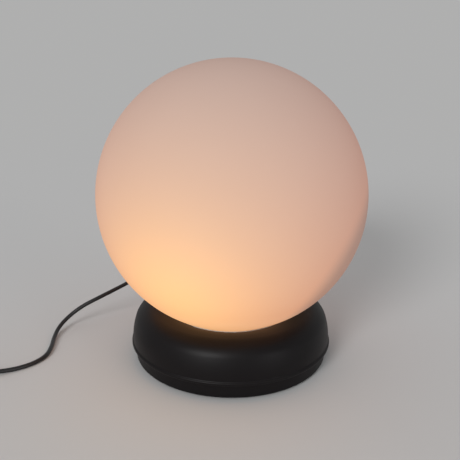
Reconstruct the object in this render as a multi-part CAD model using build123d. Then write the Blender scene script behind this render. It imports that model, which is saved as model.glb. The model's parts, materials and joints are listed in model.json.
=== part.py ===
from build123d import *
import math
import os

# Globe table lamp in millimetres, +Z up, front towards -Y.
# The origin is the centre of the base, on the surface that the lamp stands on.

# Clearances
seat_gap = 0.3  # between the globe and its gasket
close_fit = 0.05  # a rod in the hole that holds it
screw_fit = 0.25  # a screw in a clearance hole
lift_gap = 1.8  # between the globe's neck and the hole that it passes
thin_gap = 0.1  # flat or curved faces that lie against each other

# Globe
globe_radius = 150.0
glass = 3.0
neck_radius = 60.0
neck_depth = 11.5  # below the ledge that carries the gasket
neck_fillet = 5.0
neck_bead = 2.2

# Spun shell of the base
sheet = 1.2
rim_radius = 117.0
rim_height = 18.6
hem_bend = 0.7
hem_height = 2.2
side_foot_height = 24.8
crest_inset = 24.0  # from the rim in to the crest
crest_height = 61.2
shoulder_radius = 20.0
lip_slope = 22.0
lip_bend = 2.0
well_depth = 11.7  # from the crest down to the ledge
ledge_width = 5.5
ledge_bend = 1.5
gasket_height = 6.1
gasket_margin = 0.5

# Pan and foot
pan_sheet = 1.5
pan_gap = 1.0  # between the pan's wall and the shell's hem
pan_taper = 2.2
foot_height = 1.2
pan_floor_raise = 3.0
pan_floor_radius = 91.0
pan_step = 4.0  # width of the slope between floor and foot
pan_corner = 0.6
pan_skirt_height = 16.8
pan_wall_gap = 1.0  # between the pan's wall and the gland above it
foot_inner_radius = 95.5
foot_outer_radius = 104.0

# Ballast and the screws that clamp base, ballast and shell together
ballast_radius = 84.0
ballast_thickness = 10.0
ballast_hub = 9.0
screw_circle = 76.0
screw_azimuths = (55, 175, 295)
screw_radius = 2.0
screw_head_radius = 3.9
screw_head_height = 2.2
lug_sheet = 2.0
lug_width = 18.0
lug_foot = 9.0
lug_height = 38.0
lug_leg = 10.0
lug_clear = 8.0  # from the pan's wall to the lug's upper bend
thread_hold = 7.0  # screw thread held in the ballast
screw_end = 2.0  # screw standing out of the lug

# Lampholder, leaning to the front left
tilt = 12.0
tilt_azimuth = 248.5
holder_seat = 36.0
bracket_sheet = 2.0
bracket_width = 24.0
bracket_half_top = 24.0
bracket_half_span = 32.0
bracket_foot = 20.0
tube_radius = 5.0
tube_bore = 3.5
nut_radius = 7.5
nut_height = 3.5
washer_thickness = 1.0
washer_margin = 2.5
tube_bottom = -9.0
tube_top = 13.0
boss_wall = 2.5
boss_height = 8.0
cap_step = 1.5  # from the skirt's face out to the cap's
cap_height = 18.0
cap_corner = 4.0
cap_floor = 2.2
holder_wall = 1.6
skirt_gap = 1.4  # between the screw sleeve and the skirt
skirt_top = 58.0
grip_height = 9.0
grip_groove = 1.2
grip_count = 24
skirt_step = 3.0
core_bottom = 21.5
core_top = 28.5
sleeve_wall = 1.4
thread_gap = 0.45  # between the cap's ridge and the sleeve's bore
sleeve_top = 51.0
sleeve_seat = 2.0  # depth of the sleeve's groove in the core
post_offset = 8.5
post_radius = 1.6
post_head_radius = 2.6
post_depth = 6.0
contact_sheet = 0.6

# Bulb with its 27 mm screw cap, measured along the lampholder's axis
thread_pitch = 3.62
thread_root = 12.2
thread_ridge = 0.95
tip_height = 32.0
insulator_height = 34.0
screw_cap_height = 37.5
screw_cap_top = 58.5
bulb_length = 107.0
bulb_radius = 30.0
neck_glue_gap = 0.2  # between the bulb's neck and its cap
bulb_neck_top = 62.0
bulb_wall = 0.8
filament_height = 102.0
filament_radius = 12.0
cap_wall = 0.5
cap_flare = 0.9
cap_rim = 3.0
insulator_radius = 5.4
tip_radius = 4.6
stem_depth = 6.0  # below the cap's top
stem_length = 27.0
button_radius = 2.8
lead_wire_radius = 0.35
support_wire_radius = 0.25
coil_wire_radius = 0.5

# Cord
cord_radius = 2.5
core_radius = 1.05
core_offset = 1.3
exit_azimuth = 115.0
exit_height = 31.0
gland_length = 30.0
gland_flange = 6.2
gland_shank = 4.2
gland_tip = 3.5
gland_inner_length = 9.0
gland_groove_start = 8.0
gland_groove_pitch = 5.5
gland_groove = 1.6
clamp_distance = 62.0
clamp_size = (9.0, 24.0, 7.2)

# Coil of the put-away length
coil_centre = (-359.5, -5.0)
coil_inner = 23.0
turn_gap = 0.6  # between one turn and the next
coil_turns = 6
tie_sheet = 0.9
tie_width = 8.0
tie_gap = 0.15

# In-line switch
switch_centre = (-325.0, -71.0)
switch_length = 62.0
switch_width = 24.0
switch_height = 16.0
switch_split = 7.6
switch_wall = 1.7
switch_cord_height = 7.0
rocker_half = (8.4, 5.6)
rocker_gap = 0.45
rocker_tilt = 12.0
pivot_height = 13.0
pivot_radius = 1.0
switch_screws = ((-18.0, 7.4), (18.0, -7.4))
switch_corner = 9.0
switch_post_radius = 3.0
switch_screw_radius = 1.5
switch_head_radius = 2.3
switch_head_depth = 1.6
cord_grip = 8.0
ear_width = 6.0
ear_thickness = 3.0
ear_bottom = 9.8
terminal_x = 12.0
terminal_y = -3.0
terminal_size = (6.0, 5.0, 4.2)
terminal_bore_height = 4.4

# Plug
plug_centre_x = -398.6
plug_start = 50.0
boot_length = 25.0
plug_length = 36.0
plug_width = 35.3
plug_thickness = 13.7
pin_spacing = 19.0
pin_radius = 2.0
pin_length = 19.0
sleeve_length = 10.0
pin_waist = 0.8
sleeve_step = 0.25  # from the pin's bare tip in to its sleeve
pin_seat = 8.0
plug_corner = 3.0
plug_edge = 1.6
boot_wall = 1.1
boot_flare = 2.2
boot_grip = 6.0

# Sizes that follow from the ones above
half_sheet = sheet / 2
crest_radius = rim_radius - crest_inset
ledge_height = crest_height - well_depth
neck_middle = neck_radius - glass / 2
neck_bottom = ledge_height - neck_depth
hole_radius = neck_middle + neck_bead + lift_gap
well_radius = hole_radius + ledge_width
gasket_inner = hole_radius + gasket_margin
gasket_outer = well_radius - gasket_margin
gasket_middle = (gasket_inner + gasket_outer) / 2
globe_height = (ledge_height + gasket_height + seat_gap
                + math.sqrt(globe_radius ** 2 - gasket_middle ** 2))
pan_wall_radius = rim_radius - sheet - 2 * hem_bend - pan_gap
pan_base_radius = pan_wall_radius - pan_taper
pan_wall_top = exit_height - gland_flange - pan_wall_gap
pan_floor = foot_height + pan_floor_raise
pan_top = pan_floor + pan_sheet
ballast_top = pan_top + ballast_thickness
gland_end_radius = rim_radius + gland_length
cord_bed = ballast_top + cord_radius + thin_gap
turn_spacing = 2 * cord_radius + turn_gap
coil_floor = 2 * thin_gap + tie_sheet + tie_gap + cord_radius
coil_steps = 4 * coil_turns
thread_start = screw_cap_height + 3.0
bulb_neck_end = screw_cap_top - 8.0
bulb_neck = thread_root - cap_wall - neck_glue_gap
sleeve_bore = thread_root + thread_ridge + thread_gap
sleeve_radius = sleeve_bore + sleeve_wall
skirt_radius = sleeve_radius + skirt_gap + holder_wall
cap_radius = skirt_radius + cap_step
ball_height = tip_height + bulb_length - bulb_radius

on_base = (Align.CENTER, Align.CENTER, Align.MIN)


def polar(radius, azimuth):
    return Vector(radius * math.cos(math.radians(azimuth)), radius * math.sin(math.radians(azimuth)))


def rod(radius, bottom, top):
    return Pos(0, 0, bottom) * Cylinder(radius, top - bottom, align=on_base)


def ring(inner, outer, bottom, top):
    return rod(outer, bottom, top) - rod(inner, bottom - 1, top + 1)


def block(size, centre):
    return Pos(*centre) * Box(*size)


def turned(*points):
    return revolve(Plane.XZ * make_face(Polyline(*points, close=True)), Axis.Z)


def run_and_bend(start, heading, steps):
    # Straight runs (length,) and bends (radius, angle), each tangent to the one before
    point = Vector(*start)
    edges = []
    for step in steps:
        direction = polar(1, heading)
        if len(step) == 1:
            edge = Line(point, point + direction * step[0])
        else:
            edge = JernArc(point, direction, step[0], step[1])
            heading += step[1]
        edges.append(edge)
        point = edge @ 1
    return Wire(edges)


def spun(path, thickness):
    return revolve(Plane.XZ * trace(path, thickness), Axis.Z)


def cross_screw(radius, length, head_radius, head_height):
    # Pan head above z = 0 with a cross recess, shank below
    head = rod(head_radius, 0, head_height)
    head = fillet(head.edges().group_by(Axis.Z)[-1], head_height * 0.45)
    slot_depth = head_height * 0.6
    slot_length = head_radius * 1.1
    slot_width = head_radius * 0.26
    for size in ((slot_length, slot_width, slot_depth), (slot_width, slot_length, slot_depth)):
        head -= block(size, (0, 0, head_height - slot_depth / 2))
    return head + rod(radius, -length, 0.01)


def corner_radii(points):
    # The largest arc that leaves a tenth of the shorter run straight at each corner
    radii = []
    for before, here, after in zip(points, points[1:], points[2:]):
        arriving = here - before
        leaving = after - here
        half_turn = math.radians(arriving.get_angle(leaving)) / 2
        radii.append(0.45 * min(arriving.length, leaving.length) / math.tan(half_turn))
    return radii


def tube_along(path, radius):
    start = Plane(origin=path @ 0, z_dir=path % 0)
    return sweep(start * Circle(radius), path=path)


def cord_tube(name, points, radius):
    points = [Vector(*p) for p in points]
    radii = corner_radii(points)
    path = FilletPolyline(*points, radius=radii)
    tube = tube_along(path, radius)
    expected = math.pi * radius ** 2 * path.length
    print(name, "length %.1f mm" % path.length, "volume / expected %.5f" % (tube.volume / expected),
          "bend radii", [round(r, 1) for r in radii])
    return tube


# Frames of the leaning lampholder, its bracket and the cord's exit
tilt_direction = polar(1, tilt_azimuth)
holder_axis = tilt_direction * math.sin(math.radians(tilt)) + Vector(0, 0, math.cos(math.radians(tilt)))
holder_across = tilt_direction * math.cos(math.radians(tilt)) - Vector(0, 0, math.sin(math.radians(tilt)))
holder_frame = Plane(origin=(0, 0, holder_seat), x_dir=holder_across, z_dir=holder_axis)
bracket_frame = Plane(origin=(0, 0, 0), x_dir=tilt_direction,
                      z_dir=(tilt_direction.Y, -tilt_direction.X, 0))
exit_direction = polar(1, exit_azimuth)
exit_side = polar(1, exit_azimuth - 90)
gland_frame = Plane(origin=exit_direction * rim_radius + Vector(0, 0, exit_height),
                    x_dir=(0, 0, -1), z_dir=exit_direction)
clamp_frame = Plane(origin=exit_direction * clamp_distance + Vector(0, 0, ballast_top),
                    x_dir=exit_direction, z_dir=(0, 0, 1))


def globe():
    middle = globe_radius - glass / 2
    fillet_x = neck_middle + neck_fillet
    fillet_z = globe_height - math.sqrt((middle + neck_fillet) ** 2 - fillet_x ** 2)
    flare = math.degrees(math.acos(fillet_x / (middle + neck_fillet)))
    steps = [(fillet_z - neck_bottom,), (neck_fillet, -flare), (middle, 90 + flare)]
    shell = spun(run_and_bend((neck_middle, neck_bottom), 90, steps), glass)
    return shell + Pos(0, 0, neck_bottom) * Torus(neck_middle, neck_bead)


def globe_gasket():
    # The top follows the glass, one seat gap below it
    body = ring(gasket_inner, gasket_outer, ledge_height, ledge_height + 2 * gasket_height)
    outer_foot = body.edges().group_by(Axis.Z)[0].sort_by(SortBy.LENGTH)[-1]
    body = fillet(outer_foot, ledge_bend - half_sheet)
    return body - Pos(0, 0, globe_height) * Sphere(globe_radius + seat_gap)


def shell_steps():
    # From the hole's edge over the ledge, well, lip, crest and side to the hem
    wall = well_radius + half_sheet
    slope = math.radians(lip_slope)
    lip_radius = wall + (lip_bend - half_sheet) * (1 - math.sin(slope))
    top_radius = (crest_radius - lip_radius) / math.sin(slope)
    crest = crest_height - half_sheet
    lip_height = crest - top_radius * (1 - math.cos(slope))
    ledge = ledge_height - half_sheet
    well_rise = lip_height - (lip_bend - half_sheet) * math.cos(slope) - ledge - ledge_bend
    side_foot = rim_radius - half_sheet - 2 * hem_bend
    shoulder = shoulder_radius - half_sheet
    reach = side_foot - crest_radius
    drop = crest - shoulder - side_foot_height
    side_radius = (reach ** 2 + drop ** 2 - shoulder ** 2) / (2 * (reach - shoulder))
    turn = math.degrees(math.atan2(drop, side_radius - reach))
    hem_centre = rim_height + half_sheet + hem_bend
    return [
        (wall - ledge_bend - hole_radius,), (ledge_bend, 90), (well_rise,),
        (lip_bend - half_sheet, lip_slope - 90), (top_radius, -lip_slope),
        (shoulder, turn - 90), (side_radius, -turn),
        (side_foot_height - hem_centre,), (hem_bend, 180), (hem_height,),
    ]


def shell_path():
    return run_and_bend((hole_radius, ledge_height - half_sheet), 0, shell_steps())


def dome(extra):
    # Solid under the shell's outer face, from the rim to the crest, moved out or in by extra
    steps = shell_steps()[5:7]
    offset = half_sheet + extra
    crest = crest_height - half_sheet
    curve = run_and_bend((crest_radius, crest + offset), 0,
                         [(steps[0][0] + offset, steps[0][1]), (steps[1][0] + offset, steps[1][1])])
    foot = curve @ 1
    top = curve @ 0
    closing = Polyline(foot, (foot.X, 0), (0, 0), (0, top.Y), top)
    return revolve(Plane.XZ * make_face(Wire([*curve.edges(), *closing.edges()])), Axis.Z)


def base_shell():
    shell = spun(shell_path(), sheet)
    return shell - gland_frame * rod(gland_shank + thin_gap, -20, 20)


def shell_lugs():
    # Straps welded inside the wall, standing on the ballast
    inside = dome(-sheet - thin_gap)
    foot_end = screw_circle + lug_foot
    bottom = ballast_top + lug_sheet / 2
    knee = pan_wall_radius - pan_sheet - lug_clear
    path = FilletPolyline((screw_circle - lug_foot, bottom), (foot_end, bottom), (knee, lug_height),
                          (rim_radius + 5, lug_height), radius=lug_sheet)
    strap = extrude(Plane.XZ * trace(path, lug_sheet), lug_width / 2, both=True)
    leg = block((20, lug_width, lug_leg), (rim_radius, 0, lug_height)) & (inside - dome(-sheet - lug_sheet))
    lug = (strap & inside) + leg
    lug -= Pos(screw_circle, 0, 0) * rod(screw_radius + close_fit, 0, lug_height)
    return Compound([Rot(0, 0, a) * lug for a in screw_azimuths])


def pan_path():
    floor = pan_floor + pan_sheet / 2
    annulus = foot_height + pan_sheet / 2
    wall = pan_wall_radius - pan_sheet / 2
    foot = pan_base_radius - pan_sheet / 2 + pan_corner
    corners = [(0, floor), (pan_floor_radius - pan_step / 2, floor), (pan_floor_radius + pan_step / 2, annulus),
               (foot, annulus), (wall, pan_skirt_height), (wall, pan_wall_top)]
    return FilletPolyline(*corners, radius=[pan_sheet, pan_sheet, 2 * pan_sheet, 8.0])


def base_pan():
    pan = spun(pan_path(), pan_sheet)
    for azimuth in screw_azimuths:
        pan -= Pos(*polar(screw_circle, azimuth)) * rod(screw_radius + screw_fit, 0, pan_wall_top)
    return pan


def foot_ring():
    body = ring(foot_inner_radius, foot_outer_radius, 0, foot_height)
    return chamfer(body.edges().group_by(Axis.Z)[0], foot_height / 4)


def bracket_foot_places():
    reach = bracket_half_span + bracket_foot / 2
    return [tilt_direction * reach, tilt_direction * -reach]


def clamp_screw_places():
    return [exit_direction * clamp_distance + exit_side * s for s in (-clamp_size[1] / 3, clamp_size[1] / 3)]


def ballast():
    body = ring(ballast_hub, ballast_radius, pan_top, ballast_top)
    body = fillet(body.edges().group_by(Axis.Z)[-1], 1.5)
    for azimuth in screw_azimuths:
        body -= Pos(*polar(screw_circle, azimuth)) * rod(screw_radius + screw_fit, 0, ballast_top + 1)
    for place in bracket_foot_places() + clamp_screw_places():
        body -= Pos(*place) * rod(screw_radius + close_fit, 0, ballast_top + 1)
    return body


def pan_screws():
    # Driven up from below, through pan and ballast into the lugs
    screw = Rot(180, 0, 0) * cross_screw(screw_radius, ballast_top + lug_sheet + screw_end - pan_floor,
                                         screw_head_radius, screw_head_height)
    return Compound([Pos(*polar(screw_circle, a)) * Pos(0, 0, pan_floor) * screw for a in screw_azimuths])


def holder_bracket():
    slope = math.tan(math.radians(tilt))
    bottom = ballast_top + bracket_sheet / 2
    middle = holder_seat - bracket_sheet / 2 / math.cos(math.radians(tilt))
    half_span, half_top = bracket_half_span, bracket_half_top
    foot_end = half_span + bracket_foot
    path = FilletPolyline((-foot_end, bottom), (-half_span, bottom), (-half_top, middle + half_top * slope),
                          (half_top, middle - half_top * slope), (half_span, bottom), (foot_end, bottom),
                          radius=3.0)
    strip = extrude(bracket_frame * trace(path, bracket_sheet), bracket_width / 2, both=True)
    strip -= holder_frame * rod(tube_radius + close_fit, -10, 10)
    for place in bracket_foot_places():
        strip -= Pos(*place) * rod(screw_radius + screw_fit, 0, ballast_top + bracket_sheet + 1)
    return strip


def bracket_screws():
    head_seat = ballast_top + bracket_sheet
    screw = cross_screw(screw_radius, bracket_sheet + thread_hold, screw_head_radius, screw_head_height)
    return Compound([Pos(*p) * Pos(0, 0, head_seat) * screw for p in bracket_foot_places()])


def threaded_tube():
    return holder_frame * ring(tube_bore, tube_radius, tube_bottom, tube_top)


def hexagon_nut(bottom):
    nut = extrude(Pos(0, 0, bottom) * RegularPolygon(nut_radius, 6, major_radius=False), nut_height)
    return nut - rod(tube_radius + close_fit, bottom - 1, bottom + nut_height + 1)


def tube_washer():
    return holder_frame * ring(tube_radius + close_fit, nut_radius + washer_margin,
                                -bracket_sheet - washer_thickness, -bracket_sheet)


def tube_nut_lower():
    return holder_frame * hexagon_nut(-bracket_sheet - washer_thickness - nut_height)


def tube_nut_upper():
    return holder_frame * hexagon_nut(0)


def holder_cap():
    # Cup with a boss for the threaded tube
    bottom = nut_height
    top = bottom + cap_height
    cup = rod(cap_radius, bottom, top)
    cup = fillet(cup.edges().group_by(Axis.Z)[0], cap_corner)
    hollow = rod(cap_radius - holder_wall, bottom + cap_floor, top + 1)
    boss = rod(tube_radius + boss_wall, bottom + cap_floor / 2, bottom + boss_height)
    cap = cup - hollow + boss
    return holder_frame * (cap - rod(tube_radius + close_fit, 0, top))


def holder_skirt():
    # Outer sleeve: it stands on the cap's edge and ends in a rounded lip
    bottom = nut_height + cap_height
    shoulder = bottom + grip_height
    outside = turned((0, bottom), (cap_radius, bottom), (cap_radius, shoulder),
                     (skirt_radius, shoulder + skirt_step), (skirt_radius, skirt_top), (0, skirt_top))
    inner = skirt_radius - holder_wall
    skirt = outside - rod(inner, bottom - 1, skirt_top + 1)
    groove = block((grip_groove, grip_groove, 0.8 * grip_height), (cap_radius, 0, bottom + grip_height / 2))
    for i in range(grip_count):
        skirt -= Rot(0, 0, 360 / grip_count * i) * groove
    return holder_frame * fillet(skirt.edges().group_by(Axis.Z)[-1], holder_wall * 0.35)


def holder_core():
    # Insulating core, a disc with a seat for the screw sleeve
    outer = skirt_radius - holder_wall - thin_gap
    core = rod(outer, core_bottom, core_top) - ring(sleeve_bore - thin_gap, sleeve_radius + thin_gap,
                                                    core_top - sleeve_seat, core_top + 1)
    core -= rod(2 * post_radius, core_bottom - 1, core_top + 1)
    for side in (-1, 1):
        core -= Pos(post_offset * side, 0, 0) * rod(post_radius + close_fit, core_bottom - 1, core_top + 1)
    return holder_frame * core


def helix_ridge(radius, bottom, top):
    helix = Helix(pitch=thread_pitch, height=top - bottom, radius=radius)
    start = Plane(origin=helix @ 0, z_dir=helix % 0)
    ridge = sweep(start * Circle(thread_ridge), path=helix, is_frenet=True)
    return Pos(0, 0, bottom) * ridge


def holder_sleeve():
    # The sleeve's ridge runs midway between the cap's own turns
    sleeve = ring(sleeve_bore, sleeve_radius, core_top - sleeve_seat + thin_gap, sleeve_top)
    ridge = helix_ridge(sleeve_bore + 0.15 * thread_ridge, thread_start - 1.5 * thread_pitch, sleeve_top - 2)
    return holder_frame * (sleeve + ridge)


def holder_contacts():
    # A bent spring under the bulb's tip and two terminal posts
    foot = core_top + contact_sheet
    top = tip_height - 1.5 * contact_sheet
    leaf = FilletPolyline((1 - post_offset, foot), (-3.0, foot), (-2.4, top), (2.6, top), radius=0.5)
    spring = extrude(Plane.XZ * trace(leaf, contact_sheet), 2.5, both=True)
    posts = []
    for side in (-1, 1):
        low = core_bottom - post_depth
        post = rod(post_radius, low, core_top) + rod(post_head_radius, low, core_bottom - thin_gap)
        post -= Pos(0, 0, low + post_depth / 2) * Rot(90, 0, 0) * Cylinder(core_radius + thin_gap, 8)
        posts.append(Pos(post_offset * side, 0, 0) * post)
    rivet = Pos(-post_offset, 0, 0) * rod(post_radius, core_top, core_top + 1.5 * contact_sheet)
    strap_end = sleeve_bore - thin_gap - 0.2
    strap_start = post_offset - post_radius
    strap = block((strap_end - strap_start, 3.6, contact_sheet),
                  ((strap_start + strap_end) / 2, 0, core_top + contact_sheet / 2))
    live = posts[0] + spring + rivet
    neutral = posts[1] + strap
    return holder_frame * Compound([live, neutral])


def bulb_outline(inset):
    # Neck, concave flare and ball of the envelope, inset from its outer face
    rise = ball_height - bulb_neck_top
    flare = (rise ** 2 - bulb_radius ** 2 + bulb_neck ** 2) / (2 * (bulb_radius - bulb_neck))
    swing = math.degrees(math.atan2(rise, bulb_neck + flare))
    steps = [(bulb_neck_top - bulb_neck_end,), (flare + inset, -swing), (bulb_radius - inset, 90 + swing)]
    return run_and_bend((bulb_neck - inset, bulb_neck_end), 90, steps)


def bulb_glass():
    return holder_frame * spun(bulb_outline(bulb_wall / 2), bulb_wall)


def bulb_cap():
    rim = screw_cap_top - cap_rim
    inner = thread_root - cap_wall
    flared = thread_root + cap_flare
    body = turned((inner, screw_cap_height), (thread_root, screw_cap_height), (thread_root, rim),
                  (flared, screw_cap_top), (flared - cap_wall, screw_cap_top), (inner, rim))
    ridge = helix_ridge(thread_root, thread_start, rim - 2)
    hollow = rod(inner, screw_cap_height, screw_cap_top)
    return holder_frame * (body + (ridge - hollow))


def bulb_insulator():
    top = screw_cap_height - thin_gap
    return holder_frame * turned((0, insulator_height), (insulator_radius, insulator_height),
                                 (thread_root, top), (0, top))


def bulb_tip():
    tip = rod(tip_radius, tip_height, insulator_height - thin_gap)
    return holder_frame * fillet(tip.edges().group_by(Axis.Z)[0], 0.8)


def bulb_stem():
    # Pressed glass flare that seals the neck and carries the wires
    base = screw_cap_top - stem_depth
    top = base + stem_length
    inner = bulb_neck - bulb_wall - seat_gap
    flare = turned((0, base), (inner, base), (inner, base + 1.5), (4.0, base + 12), (2.5, top), (0, top))
    return holder_frame * (flare + Pos(0, 0, top + 1) * Sphere(button_radius))


def bulb_wires():
    # Two leads out to the filament's ends and three supports from the button
    button = screw_cap_top - stem_depth + stem_length + 1
    end_height = filament_height - 0.6
    wires = []
    for side in (-1, 1):
        path = FilletPolyline((side * 3.2, 0, button - 2), (side * 4.5, 0, button + 6),
                              (side * filament_radius, 0, end_height), radius=3.0)
        wires.append(tube_along(path, lead_wire_radius))
    for angle in (45, 90, 135):
        foot = polar(button_radius + thin_gap, angle) + Vector(0, 0, button)
        end = polar(filament_radius, angle) + Vector(0, 0, end_height)
        wires.append(tube_along(Line(foot, end), support_wire_radius))
    return holder_frame * Compound(wires)


def bulb_filament():
    arc = Pos(0, 0, filament_height) * CenterArc((0, 0), filament_radius, 0, 180)
    return holder_frame * tube_along(Wire(arc.edges()), coil_wire_radius)


def cord_gland():
    # Strain relief: outer flange against the wall, shank through it, inner flange, long taper
    taper = gland_frame * turned((0, -6), (gland_flange, -6), (gland_flange, 1.0), (gland_shank + 0.6, 2.4),
                                 (gland_tip, gland_length), (0, gland_length))
    taper -= dome(thin_gap / 2)
    inner = gland_frame * rod(gland_flange, -gland_inner_length, 0)
    inner &= dome(-sheet - thin_gap / 2)
    shank = gland_frame * rod(gland_shank, -8, 2)
    gland = taper + inner + shank
    for i in range(4):
        low = gland_groove_start + gland_groove_pitch * i
        gland -= gland_frame * ring(gland_tip + thin_gap, gland_flange, low, low + gland_groove)
    return gland - gland_frame * rod(cord_radius + close_fit, -20, gland_length + 1)


def inner_cord_points():
    heights = ((clamp_distance - 9, cord_bed), (clamp_distance + 12, cord_bed),
               (clamp_distance + 23, (cord_bed + exit_height) / 2), (clamp_distance + 35, exit_height),
               (gland_end_radius, exit_height))
    return [exit_direction * s + Vector(0, 0, z) for s, z in heights]


def cord_inlet():
    # The sheathed cord inside the base, from its clamp to the gland's tip
    points = inner_cord_points()
    path = FilletPolyline(*points, radius=[0.8 * r for r in corner_radii(points)])
    return tube_along(path, cord_radius)


def cord_clamp():
    bar = block(clamp_size, (0, 0, clamp_size[2] / 2))
    bar = fillet(bar.edges().group_by(Axis.Z)[-1], 1.0)
    channel = cord_radius + thin_gap / 2
    centre = cord_bed - ballast_top
    bar -= Pos(0, 0, centre) * Rot(0, 90, 0) * Cylinder(channel, 20)
    bar -= block((20, 2 * channel, centre), (0, 0, centre / 2))
    for side in (-1, 1):
        bar -= Pos(0, side * clamp_size[1] / 3, 0) * rod(screw_radius + screw_fit, -1, 20)
    return clamp_frame * bar


def cord_clamp_screws():
    screw = cross_screw(screw_radius, clamp_size[2] + thread_hold, 0.9 * screw_head_radius, screw_head_height)
    return Compound([Pos(*p) * Pos(0, 0, ballast_top + clamp_size[2]) * screw for p in clamp_screw_places()])


def holder_point(x, y, z):
    return holder_frame.from_local_coords(Vector(x, y, z))


def lead(side):
    # One core from the stripped sheath, up the threaded tube to its terminal post
    shift = exit_side * (core_offset * side)
    start = inner_cord_points()[0]
    under = holder_point(0, 0, -16)
    points = [start + shift, start - exit_direction * 18 + shift,
              Vector(under.X, under.Y, under.Z) + exit_direction * 5 + shift,
              holder_point(0, 0, -8) + shift, holder_point(0, 0, 12) + shift]
    to_post = 1 if (holder_point(8.5, 0, 0) - holder_point(-8.5, 0, 0)).dot(exit_side) * side > 0 else -1
    points += [holder_point(2.6 * to_post, 0, 15.5), holder_point(5.4 * to_post, 0, core_bottom - 4)]
    radii = [0.8 * min(r, 8.0) for r in corner_radii(points)]
    return tube_along(FilletPolyline(*points, radius=radii), core_radius)


def outer_cord_points():
    # Straight out of the gland, round behind the globe, through the air to the left, down and along the floor
    exit_point = exit_direction * gland_end_radius + Vector(0, 0, exit_height)
    floor = cord_radius
    route = [
        (-88, 166, 35), (-110, 163, 40), (-126, 142, 43), (-134, 114, 44), (-149, 92, 42),
        (-171, 73, 36), (-194, 65, 26), (-211, 58, 14), (-220, 43, 6), (-220, 21, floor + 0.1),
        (-216.5, -2, floor), (-216, -25, floor), (-226, -44, floor), (-243, -57, floor + 0.1), (-261, -67, 4.6),
        (-278, -71, 7),
    ]
    switch_face = (switch_centre[0] + switch_length / 2, switch_centre[1], switch_cord_height)
    return [tuple(exit_point), tuple(exit_point + exit_direction * 20)] + route + [switch_face]


def coil_point(turn):
    # In on the lower layer, up one layer while the spiral reverses, out on the upper layer
    half = coil_turns / 2
    blend = 0.25
    away = abs(turn - half)
    if away < blend:
        spread = away ** 2 / (2 * blend)
        share = (turn - half + blend) / (2 * blend)
        rise = share ** 2 * (3 - 2 * share)
    else:
        spread = away - blend / 2
        rise = 0.0 if turn < half else 1.0
    radius = coil_inner + turn_spacing * spread
    place = polar(radius, 180 - 360 * turn)
    return Vector(coil_centre[0] + place.X, coil_centre[1] + place.Y, coil_floor + turn_spacing * rise)


def coil_heading(turn):
    step = 0.0005
    return (coil_point(turn + step) - coil_point(turn - step)).normalized()


def biarc(start, start_heading, end, end_heading):
    # Two arcs that share a tangent where they meet
    gap = end - start
    both = start_heading + end_heading
    spread = 2 * (1 - start_heading.dot(end_heading))
    along = gap.dot(both)
    reach = (math.sqrt(along ** 2 + spread * gap.dot(gap)) - along) / spread
    first = start + start_heading * reach
    second = end - end_heading * reach
    middle = (first + second) * 0.5
    return [TangentArc(start, middle, tangent=start_heading),
            TangentArc(middle, end, tangent=(second - first).normalized())]


def coil_end(turn, side):
    return coil_point(turn) + coil_heading(turn) * (side * 2 * cord_radius)


def coil_wire():
    edges = [Line(coil_end(0, -1), coil_point(0))]
    for i in range(coil_steps):
        here, there = i / 4, (i + 1) / 4
        edges += biarc(coil_point(here), coil_heading(here), coil_point(there), coil_heading(there))
    edges.append(Line(coil_point(coil_turns), coil_end(coil_turns, 1)))
    return Wire(edges)


def least_self_gap(wire, diameter):
    # Points along the wire, leaving out neighbours closer along it than a third of the tightest turn
    count = int(wire.length / 2)
    points = [wire @ (i / count) for i in range(count + 1)]
    skip = int(2 * math.pi * coil_inner / 3 / 2)
    nearest = min((a - b).length for i, a in enumerate(points) for b in points[i + skip:])
    return nearest - diameter


def cord_coil():
    wire = coil_wire()
    print("cord_coil length %.1f mm" % wire.length,
          "least gap to itself %.2f mm" % least_self_gap(wire, 2 * cord_radius))
    tube = tube_along(wire, cord_radius)
    print("cord_coil volume / expected %.5f" % (tube.volume / (math.pi * cord_radius ** 2 * wire.length)))
    return tube


def cord_tie():
    # A flat strap round all the turns, on the far side of the coil
    outermost = (coil_point(0) - Vector(coil_centre[0], coil_centre[1], coil_floor)).length
    inner_edge = coil_inner - cord_radius - 0.7
    outer_edge = outermost + cord_radius + tie_gap
    low = coil_floor - cord_radius - tie_gap
    high = coil_floor + turn_spacing + cord_radius + tie_gap
    width, height = outer_edge - inner_edge, high - low
    hole = RectangleRounded(width, height, 1.5)
    band = RectangleRounded(width + 2 * tie_sheet, height + 2 * tie_sheet, 1.5 + tie_sheet) - hole
    frame = Plane(origin=(coil_centre[0], coil_centre[1] + (inner_edge + outer_edge) / 2, (low + high) / 2),
                  x_dir=(0, 1, 0), z_dir=(1, 0, 0))
    return extrude(frame * band, tie_width / 2, both=True)


def coil_lead_points():
    # From the switch round to the coil
    switch_face = (switch_centre[0] - switch_length / 2, switch_centre[1], switch_cord_height)
    end = coil_end(0, -1)
    before = end - coil_heading(0) * 16
    route = [(-374, -71, 7), (-389.5, -62.5, 5.4), (-398.6, -46.5, 3.8)]
    return [switch_face] + route + [tuple(before), tuple(end)]


def plug_lead_points():
    # From the coil's upper layer to the plug's boot
    start = coil_end(coil_turns, 1)
    after = start + coil_heading(coil_turns) * 12
    boot = (plug_centre_x, plug_start, plug_thickness / 2)
    return [tuple(start), tuple(after), (plug_centre_x - 0.6, 25, 8.2), (plug_centre_x, 38, plug_thickness / 2),
            boot]


switch_frame = Plane(origin=(switch_centre[0], switch_centre[1], 0), x_dir=(1, 0, 0), z_dir=(0, 0, 1))
pivot_side = rocker_half[1] + rocker_gap


def switch_pill(inset, bottom, top):
    outline = RectangleRounded(switch_length - 2 * inset, switch_width - 2 * inset, switch_corner - inset)
    return Pos(0, 0, bottom) * extrude(outline, top - bottom)


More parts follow.
